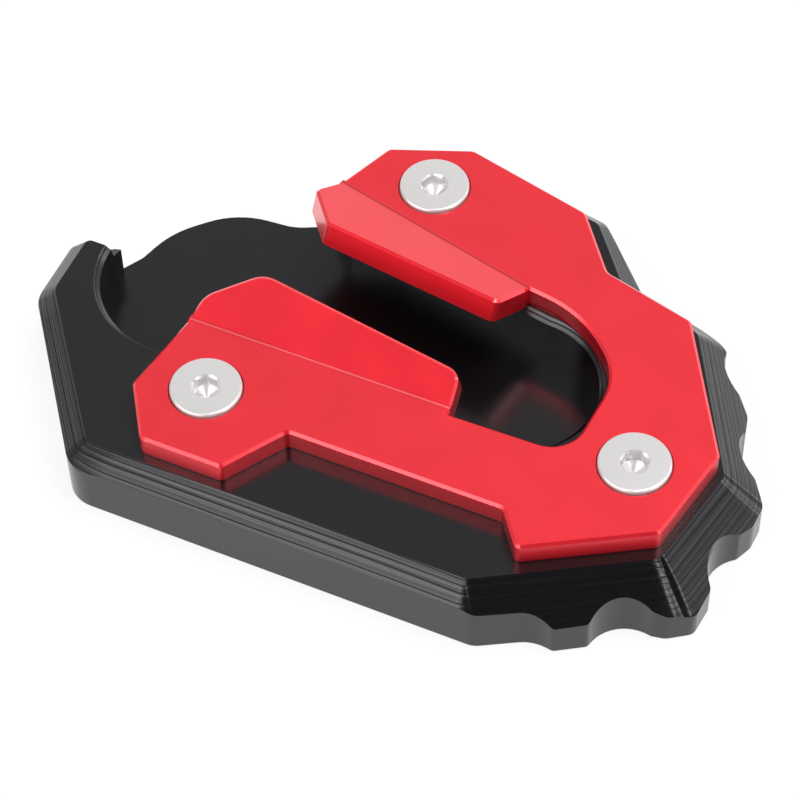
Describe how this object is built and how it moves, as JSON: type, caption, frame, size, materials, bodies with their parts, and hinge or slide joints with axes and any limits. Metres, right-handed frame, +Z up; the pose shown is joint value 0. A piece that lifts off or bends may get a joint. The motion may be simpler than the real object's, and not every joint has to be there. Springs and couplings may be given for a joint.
{
  "type": "kickstand foot enlarger",
  "caption": "Clamp-on foot that widens a motorbike side stand: black base with a foot pocket, red clamp plate with a slot for the stand's leg, and flat socket screws.",
  "frame": {"origin": "centre of the base's bounding box in plan, on the ground face", "axes": "+X along the straight front edge towards the scalloped end, +Y to the rear, +Z up"},
  "size_m": [0.1274, 0.0866, 0.0222],
  "materials": {
    "base_plate": "black anodised, satin",
    "clamp_plate": "red anodised, satin",
    "clamp_screws": "plain bright"
  },
  "bodies": {
    "root": {"base_plate": "base_plate", "clamp_plate": "clamp_plate", "clamp_screws": "clamp_screws"}
  },
  "joints": []
}
